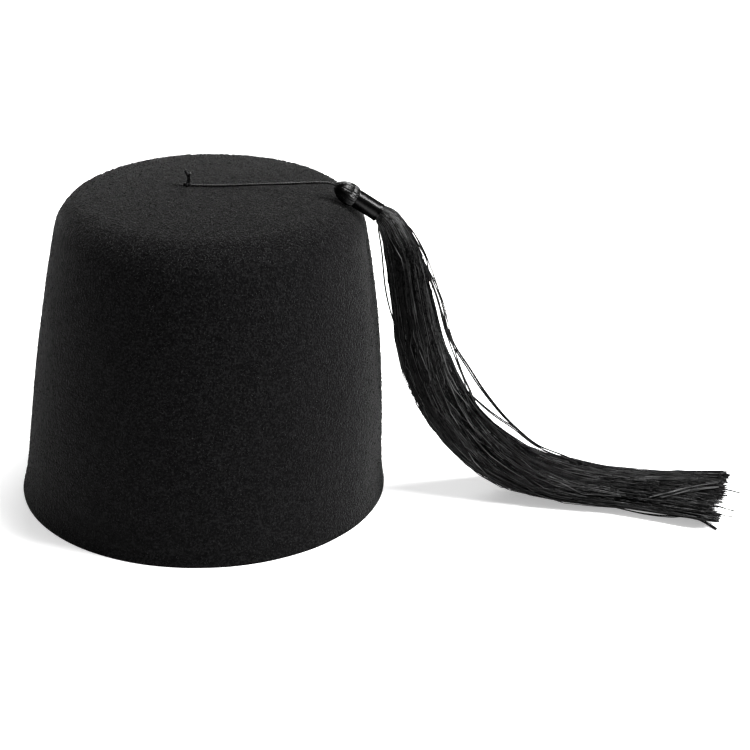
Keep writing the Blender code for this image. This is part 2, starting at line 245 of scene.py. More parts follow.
def silky_thread(name, darkest, lightest, gloss, roughness, twist_length, ply_depth, crimp_depth=0.0):
    """Silky black thread: a soft gloss, a fine twist, a slight crimp, and threads of unlike blacks.

    A thread's shade says how light it is, and its light part comes and goes in patches along it.
    """
    patch_length = 0.012
    patch_ends = {"From Min": 0.40, "From Max": 0.62, "To Min": 0.25, "To Max": 1.0}
    shade_step = 977.0  # sets the patches of threads of nearly the same shade far apart
    crimp_length = 0.004
    crimp_scale = 1.37
    material = bpy.data.materials.new(name)
    material.use_nodes = True
    links = material.node_tree.links
    shader = material.node_tree.nodes["Principled BSDF"]
    shader.inputs["Roughness"].default_value = roughness
    shader.inputs["Specular IOR Level"].default_value = gloss

    own_shade = add_node(material, "Attribute", {}, attribute_name="thread_shade")["Fac"]
    place = add_node(material, "UVMap", {}, uv_map="thread_map")["UV"]
    along = add_node(material, "SeparateXYZ", {"Vector": place})
    per_patch = add_node(material, "Math", {0: along["X"], 1: patch_length}, operation="DIVIDE")["Value"]
    per_thread = add_node(material, "Math", {0: own_shade, 1: shade_step}, operation="MULTIPLY")["Value"]
    spot = add_node(material, "CombineXYZ", {"X": per_patch, "Y": per_thread})["Vector"]
    patches = add_node(material, "TexNoise", {"Vector": spot, "Scale": 1.0, "Detail": 1.0})["Fac"]
    light_part = add_node(material, "MapRange", {"Value": patches, **patch_ends})["Result"]
    share = add_node(material, "Math", {0: light_part, 1: own_shade}, operation="MULTIPLY")["Value"]
    blacks = {"A": (darkest, darkest, darkest, 1.0), "B": (lightest, lightest, lightest, 1.0)}
    colour = add_node(material, "Mix", {"Factor": share, **blacks}, data_type="RGBA")["Result"]
    links.new(colour, shader.inputs["Base Color"])

    stretch = (1.0 / twist_length, 1.0, 1.0)
    twist = add_node(material, "Mapping", {"Vector": place, "Scale": stretch})["Vector"]
    plies = add_node(
        material, "TexWave", {"Vector": twist, "Scale": 1.0, "Distortion": 0.4},
        wave_type="BANDS", bands_direction="DIAGONAL",
    )["Fac"]
    relief = {"Height": plies, "Strength": 0.25, "Distance": ply_depth}
    if crimp_depth:
        own_number = add_node(material, "Math", {0: along["Y"]}, operation="FLOOR")["Value"]
        per_crimp = add_node(material, "Math", {0: along["X"], 1: crimp_length}, operation="DIVIDE")["Value"]
        spot = add_node(material, "CombineXYZ", {"X": per_crimp, "Y": own_number})["Vector"]
        crimp = add_node(material, "TexNoise", {"Vector": spot, "Scale": crimp_scale, "Detail": 1.0})["Fac"]
        bends = add_node(material, "Bump", {"Height": crimp, "Strength": 1.0, "Distance": crimp_depth})
        relief["Normal"] = bends["Normal"]
    links.new(add_node(material, "Bump", relief)["Normal"], shader.inputs["Normal"])
    return material


def two_ply_outline(corners, waist):
    """The section of two plies side by side: widest across both, with a waist between them."""
    angle = 2 * np.pi * np.arange(corners) / corners
    return np.maximum(np.abs(np.cos(angle)), waist)


def twisted_cord(name, line, diameter, twist_length):
    """The mesh of a cord of two plies that wind round each other along a line."""
    steps = np.linalg.norm(np.diff(line, axis=0, prepend=line[:1]), axis=1)
    turns = 2 * np.pi * np.cumsum(steps) / twist_length
    radii = np.full((1, len(line)), diameter / 2)
    outline = two_ply_outline(CORD_CORNERS, CORD_WAIST)
    return tube_mesh(name, line[None], radii, outline, turns[None], (0.0, 1.0, 0.0), 0.0)


cord_thread = silky_thread(
    "cord thread", darkest=0.0003, lightest=0.0006, gloss=0.18, roughness=0.15,
    twist_length=0.0005, ply_depth=0.00002,
)
cord_line = even_line(smooth_rows(CORD_ROUTE, CORD_ROWS), CORD_SPACING)
cord = add_piece("cord", twisted_cord("cord", cord_line, CORD_DIAMETER, CORD_TWIST_LENGTH), cord_thread)
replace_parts(cord, "tassel_cord")

# ---------------------------------------------------------------- the crown
# One piece of wool felt, blocked while wet over a wooden form, so that side, shoulder and top run
# into each other without a seam. Its rim is cut with a knife and left raw. The nap is short, and
# the face is a little uneven, as pressed felt is.

WALL = 0.0024
RIM_RADIUS = 0.0950
RIM_FLARE = 0.0030
FLARE_HEIGHT = 0.0100
SHOULDER_RADIUS = 0.0780
SHOULDER_HEIGHT = 0.1420
SHOULDER_ARC = 0.0210
SIDE_BOW = 0.0032
TOP_RISE = 0.0050
DOME_FIT_ROUNDS = 20  # the dome and the shoulder are fitted to each other in rounds
CROWN_LEAN = 0.0057
CUT_EDGE_ROUND = 0.0005
CUT_EDGE_STEPS = 3
DENT_SIZE = 0.030  # how far apart the low dents of hand blocking are
DENT_DEPTH = 0.0005
SIDE_ROWS = 52
SHOULDER_ROWS = 18
TOP_ROWS = 22
ROWS_CROWD_LOW = 1.3  # above 1, the side's rows stand closer together towards the rim
CROWN_STEPS = 200


def side_radius(height):
    """The outer radius of the crown's side at a height."""
    share = height / SHOULDER_HEIGHT
    body_radius = RIM_RADIUS - RIM_FLARE
    straight = body_radius + (SHOULDER_RADIUS - body_radius) * share
    return straight + 4 * SIDE_BOW * share * (1 - share) + RIM_FLARE * math.exp(-height / FLARE_HEIGHT)


def side_angle(height):
    """How far the side's outward normal is tipped up from level at a height."""
    reach = 0.0001
    return math.atan((side_radius(height) - side_radius(height + reach)) / reach)


shoulder_start = side_angle(SHOULDER_HEIGHT)
shoulder_middle = SHOULDER_RADIUS - SHOULDER_ARC * math.cos(shoulder_start)
shoulder_level = SHOULDER_HEIGHT - SHOULDER_ARC * math.sin(shoulder_start)
dome_angle = 0.0
for _ in range(DOME_FIT_ROUNDS):
    dome_edge = shoulder_middle + SHOULDER_ARC * math.sin(dome_angle)
    dome_angle = 2 * math.atan(TOP_RISE / dome_edge)
dome_radius = dome_edge / math.sin(dome_angle)
dome_level = shoulder_level + (SHOULDER_ARC - dome_radius) * math.cos(dome_angle)
top_level = dome_level + dome_radius


def side_and_top_rows():
    """(radius, height) rows of the outer face, from the rim up to near the middle of the top."""
    rows = []
    for height in SHOULDER_HEIGHT * np.linspace(0.0, 1.0, SIDE_ROWS + 1)[:-1] ** ROWS_CROWD_LOW:
        rows.append((side_radius(height), height))
    for angle in np.linspace(shoulder_start, math.pi / 2 - dome_angle, SHOULDER_ROWS + 1):
        radius = shoulder_middle + SHOULDER_ARC * math.cos(angle)
        rows.append((radius, shoulder_level + SHOULDER_ARC * math.sin(angle)))
    for angle in np.linspace(dome_angle, 0.0, TOP_ROWS + 1)[1:-1]:
        rows.append((dome_radius * math.sin(angle), dome_level + dome_radius * math.cos(angle)))
    return rows


def crown_lean(height):
    """How far the felt's middle stands to +X at a height: most of the lean is low down."""
    return CROWN_LEAN * math.sin(math.pi / 2 * min(height / top_level, 1.0))


def raise_rows(name, rows, steps, lean=lambda height: 0.0):
    """An open round body raised from a circle: each row is extruded, then drawn in or out."""
    bpy.ops.object.select_all(action="DESELECT")
    radius, height = rows[0]
    bpy.ops.mesh.primitive_circle_add(vertices=steps, radius=radius, location=(lean(height), 0.0, height))
    body = bpy.context.object
    body.name = body.data.name = name
    bpy.ops.object.transform_apply(location=True, rotation=False, scale=False)
    bpy.ops.object.mode_set(mode="EDIT")
    bpy.ops.mesh.select_mode(type="VERT")
    bpy.ops.mesh.select_all(action="SELECT")
    for next_radius, next_height in rows[1:]:
        step = (lean(next_height) - lean(height), 0.0, next_height - height)
        bpy.ops.mesh.extrude_region_move(TRANSFORM_OT_translate={"value": step})
        draw_in = next_radius / radius
        middle = (lean(next_height), 0.0, next_height)
        bpy.ops.transform.resize(value=(draw_in, draw_in, 1.0), center_override=middle)
        radius, height = next_radius, next_height
    bpy.ops.mesh.extrude_region_move(TRANSFORM_OT_translate={"value": (0.0, 0.0, 0.0)})
    bpy.ops.mesh.merge(type="CENTER")
    bpy.ops.mesh.select_all(action="SELECT")
    bpy.ops.mesh.normals_make_consistent(inside=False)
    bpy.ops.object.mode_set(mode="OBJECT")
    return body


def apply_modifier(body, kind, **settings):
    """Add a modifier, set it, and apply it."""
    modifier = body.modifiers.new(kind.title(), kind)
    for setting, value in settings.items():
        setattr(modifier, setting, value)
    bpy.ops.object.modifier_apply(modifier=modifier.name)


def select_faces(body, wanted):
    """Select only the faces that a test of their middle and normal picks, and enter edit mode."""
    bpy.ops.object.mode_set(mode="EDIT")
    bpy.ops.mesh.select_all(action="DESELECT")
    bpy.ops.mesh.select_mode(type="FACE")
    bpy.ops.object.mode_set(mode="OBJECT")
    for face in body.data.polygons:
        face.select = wanted(face.center, face.normal)
    bpy.ops.object.mode_set(mode="EDIT")


crown = raise_rows("felt_crown", side_and_top_rows(), CROWN_STEPS, crown_lean)

hand_blocked = bpy.data.textures.new("hand blocked", "CLOUDS")
hand_blocked.noise_scale = DENT_SIZE
hand_blocked.noise_depth = 1
apply_modifier(crown, "DISPLACE", texture=hand_blocked, texture_coords="LOCAL", strength=DENT_DEPTH)

# The outer face's points, ring by ring, without the middle of the top. The nap grows from them.
outer_face = np.empty(len(crown.data.vertices) * 3, np.float32)
crown.data.vertices.foreach_get("co", outer_face)
outer_face = outer_face.reshape(-1, 3)[:-1].reshape(-1, CROWN_STEPS, 3).astype(float)

apply_modifier(crown, "SOLIDIFY", thickness=WALL, offset=-1.0, use_even_offset=True)

select_faces(crown, lambda middle, normal: middle.z < WALL and normal.z < -0.7)
bpy.ops.transform.resize(value=(1.0, 1.0, 0.0), center_override=(0.0, 0.0, 0.0))
bpy.ops.object.mode_set(mode="OBJECT")
apply_modifier(
    crown, "BEVEL", width=CUT_EDGE_ROUND, segments=CUT_EDGE_STEPS, limit_method="ANGLE",
    angle_limit=math.radians(50.0),
)
bpy.ops.object.shade_smooth()

FELT_FINISH = {"Roughness": 1.0, "Specular IOR Level": 0.08, "Sheen Weight": 0.070, "Sheen Roughness": 0.32}
GRAIN_PER_METRE = 1000.0
MOTTLE_PER_METRE = 260.0
FLECKS_PER_METRE = 210.0
DARK_WOOL = (0.0003, 0.0003, 0.0004, 1.0)
LIGHT_WOOL = (0.0060, 0.0060, 0.0062, 1.0)
TUFT_WOOL = (0.0210, 0.0210, 0.0205, 1.0)
FLECK_WOOL = (0.0160, 0.0160, 0.0155, 1.0)


def wool_felt(name):
    """Black wool felt: fine speckled grain, a short nap that lights up at the edges, stray flecks, and
    painted light on the tufts of the top.
    """
    material = bpy.data.materials.new(name)
    material.use_nodes = True
    links = material.node_tree.links
    shader = material.node_tree.nodes["Principled BSDF"]
    for socket, number in FELT_FINISH.items():
        shader.inputs[socket].default_value = number
    place = add_node(material, "TexCoord", {})["Object"]

    def felt_noise(per_metre, detail):
        inputs = {"Vector": place, "Scale": per_metre, "Detail": detail, "Roughness": 0.6}
        return add_node(material, "TexNoise", inputs)["Fac"]

    def spread(value, low, high, to_low, to_high):
        ends = {"From Min": low, "From Max": high, "To Min": to_low, "To Max": to_high}
        return add_node(material, "MapRange", {"Value": value, **ends})["Result"]

    def shaded(kind, share, first, second):
        inputs = {"Factor": share, "A": first, "B": second}
        return add_node(material, "Mix", inputs, data_type="RGBA", blend_type=kind)["Result"]

    grain = felt_noise(GRAIN_PER_METRE, 2.0)
    mottle = felt_noise(MOTTLE_PER_METRE, 3.0)
    wool = shaded("MIX", spread(grain, 0.46, 0.60, 0.0, 1.0), DARK_WOOL, LIGHT_WOOL)
    wool = shaded("MULTIPLY", 0.8, wool, spread(mottle, 0.35, 0.65, 0.55, 1.25))
    # The tufts' lightness: random grain, with painted light that makes the tufts on the top lighter.
    own_shade = add_node(material, "Attribute", {}, attribute_name="tuft_grain_and_painted_light")["Fac"]
    wool = shaded("MIX", own_shade, wool, TUFT_WOOL)
    to_fleck = add_node(material, "TexVoronoi", {"Vector": place, "Scale": FLECKS_PER_METRE})["Distance"]
    wool = shaded("MIX", spread(to_fleck, 0.05, 0.09, 0.6, 0.0), wool, FLECK_WOOL)
    links.new(wool, shader.inputs["Base Color"])
    pressed = add_node(material, "Bump", {"Height": mottle, "Strength": 0.5, "Distance": 0.0006})["Normal"]
    fuzzy = {"Height": grain, "Strength": 1.0, "Distance": 0.0007, "Normal": pressed}
    links.new(add_node(material, "Bump", fuzzy)["Normal"], shader.inputs["Normal"])
    return material


felt = wool_felt("black wool felt")
crown.data.materials.append(felt)
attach(crown, "root")
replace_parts(crown, "crown")

# The nap: short tufts of wool that lie on the outer face and point every way.
NAP_TUFTS = 45000
TUFT_LENGTH = 0.0009
TUFT_WIDTH = 0.00045
TUFT_SIZES = (0.6, 1.4)
TUFT_CREST = 0.3  # how far along it a tuft is thickest
TUFT_RISE = 0.00020
TOP_TUFT_RISE = 0.00030  # how much higher they stand on the top, where the felt was pressed less
TOP_TUFT_CROWD = 1.5  # how much more densely they stand there, as a share
TOP_FACES_UP = 0.6  # the top is where the felt's normal points up by more than this
TUFT_SUNK = 0.00012
TUFT_SHADE = 0.08  # how light the lightest tufts are on the side
TOP_TUFT_PAINTED_LIGHT = 1.60  # painted light: how much lighter they are painted on the top, which faces the light above

draw = np.random.default_rng(8)
lower, upper = outer_face[1:-1], outer_face[2:]
corner = np.stack([lower, np.roll(lower, -1, axis=1), np.roll(upper, -1, axis=1), upper], axis=2)
corner = corner.reshape(-1, 4, 3)
quad_normal = np.cross(corner[:, 2] - corner[:, 0], corner[:, 3] - corner[:, 1])
quad_area = np.linalg.norm(quad_normal, axis=1)
quad_share = quad_area * (1.0 + TOP_TUFT_CROWD * (unit(quad_normal)[:, 2] > TOP_FACES_UP))
picked = draw.choice(len(corner), NAP_TUFTS, p=quad_share / quad_share.sum())
first, second = draw.uniform(0.0, 1.0, (2, NAP_TUFTS, 1))
corner = corner[picked]
low = corner[:, 0] * (1 - first) + corner[:, 1] * first
high = corner[:, 3] * (1 - first) + corner[:, 2] * first
out = unit(quad_normal[picked])
root = low * (1 - second) + high * second - TUFT_SUNK * out
way = unit(np.cross(out, draw.normal(0.0, 1.0, (NAP_TUFTS, 3))))
aside = np.cross(out, way)
size = draw.uniform(*TUFT_SIZES, (NAP_TUFTS, 1))
upward = np.clip(out[:, 2:], 0.0, 1.0)
rise = TUFT_RISE + TOP_TUFT_RISE * upward**3 + TUFT_SUNK
tip = root + size * (TUFT_LENGTH * way + rise * out)
left, right = root + aside * TUFT_WIDTH / 2, root - aside * TUFT_WIDTH / 2
crest = root + size * (TUFT_CREST * TUFT_LENGTH * way + rise * out)
tufts = np.stack([left, right, tip, crest], axis=1)
tufts[..., 2] = np.maximum(tufts[..., 2], 0.0)
sides = np.array([(0, 2, 1), (0, 1, 3), (1, 2, 3), (2, 0, 3)])
corners = (4 * np.arange(NAP_TUFTS)[:, None, None] + sides).ravel()
nap_mesh = bpy.data.meshes.new("felt_nap")
nap_mesh.vertices.add(4 * NAP_TUFTS)
nap_mesh.vertices.foreach_set("co", tufts.astype(np.float32).ravel())
nap_mesh.loops.add(len(corners))
nap_mesh.loops.foreach_set("vertex_index", corners.astype(np.int32))
nap_mesh.polygons.add(4 * NAP_TUFTS)
nap_mesh.polygons.foreach_set("loop_start", np.arange(0, len(corners), 3, dtype=np.int32))
nap_mesh.update(calc_edges=True)
nap_mesh.validate()
nap_mesh.shade_smooth()
tuft_grain_and_painted_light = nap_mesh.attributes.new("tuft_grain_and_painted_light", "FLOAT", "POINT")
# Each tuft's lightness: random grain, times painted light that grows as the felt faces up, so the top is
# painted lighter.
shades = draw.uniform(0.0, 1.0, NAP_TUFTS) * (TUFT_SHADE + TOP_TUFT_PAINTED_LIGHT * upward[:, 0] ** 2)
tuft_grain_and_painted_light.data.foreach_set("value", np.repeat(shades, 4).astype(np.float32))
nap_mesh.materials.append(felt)
nap = bpy.data.objects.new("felt_nap", nap_mesh)
bpy.context.scene.collection.objects.link(nap)
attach(nap, "root")
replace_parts(nap, "crown")

# ---------------------------------------------------------------- the knot on the top
# The cord comes up through a small hole in the top and is knotted there, so that it can't slip
# back. Its two cut ends stand up from the knot and part at their tips, and a loose ply lies on the
# felt beside it.

KNOT_MIDDLE = (-0.0060, -0.0032, 0.16490)
KNOT_LOOP = 0.00105
KNOT_FLATTENED = 0.85  # its depth from front to back, as a share of its width
KNOT_CROSSING = 0.45  # how far its loop folds over itself: 0 is a plain ring
KNOT_RISE = 0.0005
KNOT_CORD = 0.00105
KNOT_TWIST_LENGTH = 0.0018
KNOT_POINTS = 90
CUT_END_ROWS = 60
CUT_END_SPACING = 0.00015
CUT_ENDS = (
    # diameter, then the x, y, z of the points from the knot up, or out along the felt
    (0.00140, (
        (-0.0064, -0.0030, 0.1646),
        (-0.0055, -0.0030, 0.1670),
        (-0.0054, -0.0031, 0.1692),
        (-0.0069, -0.0032, 0.1725),
    )),
    (0.00125, (
        (-0.0057, -0.0035, 0.1646),
        (-0.0050, -0.0035, 0.1670),
        (-0.0048, -0.0034, 0.1690),
        (-0.0045, -0.0030, 0.1711),
    )),
    (0.00050, (
        (-0.0060, -0.0036, 0.1648),
        (-0.0080, -0.0034, 0.1648),
        (-0.0105, -0.0028, 0.1647),
        (-0.0130, -0.0020, 0.1646),
    )),
)


def knot_line():
    """A small overhand knot, lying flat."""
    angle = np.linspace(0.0, 2 * np.pi, KNOT_POINTS)
    across = KNOT_LOOP * (np.sin(angle) + KNOT_CROSSING * np.sin(2 * angle))
    back = KNOT_LOOP * KNOT_FLATTENED * (np.cos(angle) - KNOT_CROSSING * np.cos(2 * angle))
    rise = KNOT_RISE * np.sin(3 * angle)
    return np.column_stack([across, back, rise]) + np.array(KNOT_MIDDLE)


knot = add_piece("top_knot", twisted_cord("top_knot", knot_line(), KNOT_CORD, KNOT_TWIST_LENGTH), cord_thread)
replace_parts(knot, "crown_knot")
for number, (diameter, route) in enumerate(CUT_ENDS):
    name = f"cut_end_{number}"
    line = even_line(smooth_rows(route, CUT_END_ROWS), CUT_END_SPACING)
    cut_end = add_piece(name, twisted_cord(name, line, diameter, KNOT_TWIST_LENGTH), cord_thread)
    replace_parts(cut_end, "crown_knot")

# ---------------------------------------------------------------- the tassel's head
# A small wooden bead with silky threads drawn over it from tip to neck, side by side, so that only
# threads show. They are gathered below it and bound.

HEAD_TIP = (0.0670, -0.0112, 0.1667)
HEAD_HEADING = math.radians(-7.5)
HEAD_SLOPE = math.radians(32.3)
HEAD_SECTIONS = (
    # distance from the tip, radius
    (0.0000, 0.0015),
    (0.0016, 0.0033),
    (0.0044, 0.0049),
    (0.0078, 0.0056),
    (0.0104, 0.0053),
    (0.0116, 0.0047),
    (0.0124, 0.0042),
)
NECK_RADIUS = 0.0034
NECK_END = 0.0260
BEAD_STEPS = 32
HEAD_ROWS = 26
HEAD_THREADS = 46
HEAD_THREAD_RADIUS = 0.00060
HEAD_THREAD_CORNERS = 18
HEAD_FULL_RADIUS = 0.0050  # where the head is narrower than this, its threads are pressed thinner
HEAD_THINNEST_SHARE = 0.45
HEAD_UNEVEN = 0.00006
HEAD_WANDER = 0.05  # how far a thread sways round the head, as an angle
HEAD_WANDER_RATE = 500.0
HEAD_LIGHTEST_SHADE = 0.35

level = math.cos(HEAD_SLOPE)
head_way = np.array((level * math.cos(HEAD_HEADING), level * math.sin(HEAD_HEADING), -math.sin(HEAD_SLOPE)))
head_across = unit(np.cross(head_way, (0.0, 0.0, 1.0)))
head_up = np.cross(head_across, head_way)


def round_head(distance, radius, angle):
    """Places at a distance down the head's line, at a radius and an angle round it."""
    outward = np.cos(angle)[..., None] * head_up + np.sin(angle)[..., None] * head_across
    return np.array(HEAD_TIP) + distance[..., None] * head_way + radius[..., None] * outward


def close_and_place(body, crease_angle):
    """Fill the open end of a body raised along Z, and lay it along the head's line, tip first."""
    bpy.ops.object.mode_set(mode="EDIT")
    bpy.ops.mesh.select_all(action="DESELECT")
    bpy.ops.mesh.select_non_manifold()
    bpy.ops.mesh.fill()
    bpy.ops.object.mode_set(mode="OBJECT")
    to_head = Vector((0.0, 0.0, 1.0)).rotation_difference(Vector(-head_way)).to_matrix().to_4x4()
    body.matrix_world = Matrix.Translation(HEAD_TIP) @ to_head
    bpy.ops.object.transform_apply(location=True, rotation=True, scale=True)
    bpy.ops.object.shade_smooth_by_angle(angle=crease_angle)


head_rows = smooth_rows(HEAD_SECTIONS, HEAD_ROWS)
bead_rows = [(NECK_RADIUS, -NECK_END), (NECK_RADIUS, -HEAD_SECTIONS[-1][0])]
bead_rows += [(radius - HEAD_THREAD_RADIUS, -distance) for distance, radius in head_rows[-3::-2]]
bead = raise_rows("head_bead", bead_rows, BEAD_STEPS)
close_and_place(bead, math.radians(50.0))
bead.data.materials.append(cord_thread)
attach(bead, "root")
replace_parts(bead, "tassel")

draw = np.random.default_rng(4)
head_distance = np.broadcast_to(head_rows[:, 0], (HEAD_THREADS, len(head_rows)))
crowding = np.clip(head_rows[:, 1] / HEAD_FULL_RADIUS, HEAD_THINNEST_SHARE, 1.0) * HEAD_THREAD_RADIUS
head_radius = np.broadcast_to(head_rows[:, 1] - crowding, head_distance.shape)
head_radius = head_radius + draw.uniform(-HEAD_UNEVEN, HEAD_UNEVEN, (HEAD_THREADS, 1))
head_angles = 2 * np.pi * np.arange(HEAD_THREADS)[:, None] / HEAD_THREADS
sway_phase = draw.uniform(0, 6.3, (HEAD_THREADS, 1))
head_angles = head_angles + HEAD_WANDER * np.sin(head_distance * HEAD_WANDER_RATE + sway_phase)
head_lines = round_head(head_distance, head_radius, head_angles)
head_radii = np.broadcast_to(crowding, head_distance.shape)
glossy_silk = silky_thread(
    "glossy silk", darkest=0.0006, lightest=0.0024, gloss=0.30, roughness=0.20,
    twist_length=0.0012, ply_depth=0.00002,
)
head_mesh = tube_mesh(
    "head_threads", head_lines, head_radii, np.ones(HEAD_THREAD_CORNERS), np.zeros_like(head_radii),
    head_across + 0.3 * head_up, draw.uniform(0.0, HEAD_LIGHTEST_SHADE, (HEAD_THREADS, 1)),
)
head_threads = add_piece("head_threads", head_mesh, glossy_silk)
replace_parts(head_threads, "tassel")

# ---------------------------------------------------------------- the binding round the neck
# One silky thread, wound tightly round the gathered threads below the head, turn beside turn. It
# holds the skirt and gives the neck its smooth gloss. Its last turns stand up as a low lip.

BINDING_START = 0.0120
BINDING_END = 0.0256
BINDING_RADIUS = 0.0048
WINDING_THREAD = 0.00052
ROWS_PER_TURN = 4
TURN_DEPTH = 0.000045
LIP_HEIGHT = 0.00020
LIP_LENGTH = 0.0010
WINDING_UNEVEN = 0.000008
BINDING_STEPS = 56

draw = np.random.default_rng(6)
turn_count = round((BINDING_END - BINDING_START) / WINDING_THREAD)
binding_rows = []
for row in range(turn_count * ROWS_PER_TURN + 1):
    distance = BINDING_END - row * WINDING_THREAD / ROWS_PER_TURN
    groove = TURN_DEPTH * (0.5 + 0.5 * math.cos(2 * math.pi * row / ROWS_PER_TURN))
    lip = LIP_HEIGHT * math.exp(-(((BINDING_END - distance) / LIP_LENGTH) ** 2))
    binding_rows.append((BINDING_RADIUS + lip - groove + draw.normal(0.0, WINDING_UNEVEN), -distance))
winding = raise_rows("neck_winding", binding_rows, BINDING_STEPS)
close_and_place(winding, math.radians(60.0))
wound_silk = silky_thread(
    "wound silk", darkest=0.0006, lightest=0.0024, gloss=0.20, roughness=0.22,
    twist_length=0.0012, ply_depth=0.00002,
)
winding.data.materials.append(wound_silk)
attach(winding, "root")
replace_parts(winding, "neck_binding")

# ---------------------------------------------------------------- the skirt of threads
# Some thousands of fine silky threads hang from the neck, combed nearly straight, down the outside
# of the hat and along the table. They are cut together at the far end, a little aslant.

SKIRT_SECTIONS = (
    # x, y, z, half thickness, half width
    (0.0870, -0.0140, 0.1540, 0.0040, 0.0040),
    (0.0890, -0.0140, 0.1525, 0.0040, 0.0040),
    (0.0900, -0.0140, 0.1520, 0.0050, 0.0050),
    (0.0940, -0.0145, 0.1480, 0.0065, 0.0070),
    (0.0985, -0.0150, 0.1380, 0.0080, 0.0095),
    (0.1020, -0.0150, 0.1250, 0.0095, 0.0110),
    (0.1060, -0.0155, 0.1050, 0.0105, 0.0125),
    (0.1100, -0.0160, 0.0850, 0.0120, 0.0140),
    (0.1160, -0.0165, 0.0670, 0.0130, 0.0145),
    (0.1280, -0.0180, 0.0440, 0.0130, 0.0150),
    (0.1450, -0.0200, 0.0250, 0.0125, 0.0170),
    (0.1660, -0.0225, 0.0125, 0.0100, 0.0190),
    (0.1900, -0.0270, 0.0075, 0.0070, 0.0205),
    (0.2150, -0.0345, 0.0065, 0.0060, 0.0185),
    (0.2400, -0.0420, 0.0070, 0.0065, 0.0210),
    (0.2580, -0.0465, 0.0070, 0.0065, 0.0250),
    (0.2650, -0.0480, 0.0070, 0.0065, 0.0265),
)
SKIRT_ROWS = 320
SKIRT_PIECES = 3
PAST_END = 0.018  # how far its rows run on past the cut end, for the threads that are longer
LOCK_TURN = math.radians(25.0)
LOCK_COUNT = 70
STRAND_COUNT = 300  # groups of a few threads of one shade
THREAD_COUNT = 2500
THREAD_POINTS = 26
THREAD_CORNERS = 3
THREAD_RADIUS = 0.00024
THREAD_CROWD = 0.36  # below a half, the threads stand closer together towards the outside
LOCK_CROWD = 0.42
MORE_POINTS_IN_BENDS = 0.09
ABOVE_TABLE = 0.0001  # between the table and a thread that lies on it

# How the threads lie: drawn into locks, and drifting. Sideways shares are of the skirt's section.
FREE_AFTER = 0.03  # how far below the binding they are free of it
FULL_WIDTH_AFTER = 0.035
LOCK_PULL = 0.28
LOCK_PULL_CHANGE = 0.16
LOCK_PULL_WAVE = (0.07, 0.14)
LOCK_DRIFT = ((0.16, 0.04), (0.09, 0.025))  # wave length, and sideways share
OWN_DRIFT = ((0.12, 0.050), (0.06, 0.030), (0.033, 0.014))
CROSSING_SHARE = 0.10  # of the threads, those that wander across the others
CROSSING_DRIFT = 3.5
HELD_WITHIN = 0.96
STANDS_PROUD = 0.028

# How they are cut, and how long each is.
CUT_SLANT = 0.0085  # how much shorter the near side is than the far side
FAR_SIDE_LONGER = 0.003
END_RAGGED = 0.0016
LONGEST_PAST_END = 0.009
NOTCH_DEPTH = 0.0050  # of the short place in the cut edge, and where it is from the far side
NOTCH_PLACE = 0.72
NOTCH_WIDTH = 0.12
NOTCH_TILT = 0.22  # how far it moves to the far side from the lowest thread to the highest

# How light they are. A power makes light ones rare. Below the binding, a painted highlight is added.
STRAND_SHADE = 0.5
STRAND_POWER = 10
OWN_SHADE = 0.9
OWN_POWER = 16
CROSSING_SHADE = 0.25
SPREAD_PLACE = 0.008  # where the threads spread below the binding: a painted highlight, where light catches them
SPREAD_LENGTH = 0.0050
SPREAD_PAINTED_HIGHLIGHT = 2.8
SPREAD_POWER = 3
LIGHTEST_SHADE = 1.6

skirt_rows = smooth_rows(SKIRT_SECTIONS, SKIRT_ROWS)
past_end = skirt_rows[-1].copy()
past_end[:3] += unit(skirt_rows[-1, :3] - skirt_rows[-6, :3]) * PAST_END
skirt_rows = np.vstack([skirt_rows, past_end])
skirt_run = np.concatenate([[0.0], np.cumsum(np.linalg.norm(np.diff(skirt_rows[:, :3], axis=0), axis=1))])
skirt_ahead = unit(np.gradient(skirt_rows[:, :3], skirt_run, axis=0))
skirt_across = unit(np.column_stack([skirt_ahead[:, 1], -skirt_ahead[:, 0], np.zeros(len(skirt_ahead))]))
skirt_outward = np.cross(skirt_across, skirt_ahead)
skirt_length = skirt_run[-2]
skirt_table = np.column_stack([skirt_rows, skirt_outward, skirt_across])
skirt_bend = np.linalg.norm(np.gradient(skirt_ahead, skirt_run, axis=0), axis=1)
crowding = np.diff(skirt_run) * (1.0 + MORE_POINTS_IN_BENDS * skirt_bend[1:])
point_crowd = np.concatenate([[0.0], np.cumsum(crowding)])


def table_rows(run):
    """Rows of the skirt's table at a length down it: 3 of place, 2 half sizes, 3 outward, 3 across."""
    return np.stack([np.interp(run, skirt_run, column) for column in skirt_table.T], axis=-1)


def seeds(count, outer_crowd):
    """Points spread over a round section of radius one, closer together towards its outside."""
    number = np.arange(count) + 0.5
    reach, angle = (number / count) ** outer_crowd, number * math.pi * (3 - math.sqrt(5))
    return np.column_stack([reach * np.cos(angle), reach * np.sin(angle)])


def skirt_places(run, outward_share, across_share):
    """Places in the skirt, at a length along it and at shares of its thickness and width."""
    row = table_rows(run)
    spin = LOCK_TURN * run / skirt_length
    first = outward_share * np.cos(spin) - across_share * np.sin(spin)
    second = outward_share * np.sin(spin) + across_share * np.cos(spin)
    place = row[..., :3] + (first * row[..., 3])[..., None] * row[..., 5:8]
    return place + (second * row[..., 4])[..., None] * row[..., 8:11]


def slow_wander(threads, run, drifts):
    """Smooth sideways drifts, one row for each thread, from waves of a length and a size."""
    drift = np.zeros((threads, run.shape[1]))
    for length, size in drifts:
        phase = draw.uniform(0.0, 2 * np.pi, (threads, 1))
        stretch = draw.uniform(0.8, 1.25, (threads, 1))
        drift += size * np.sin(2 * np.pi * run[:threads] / (length * stretch) + phase)
    return drift


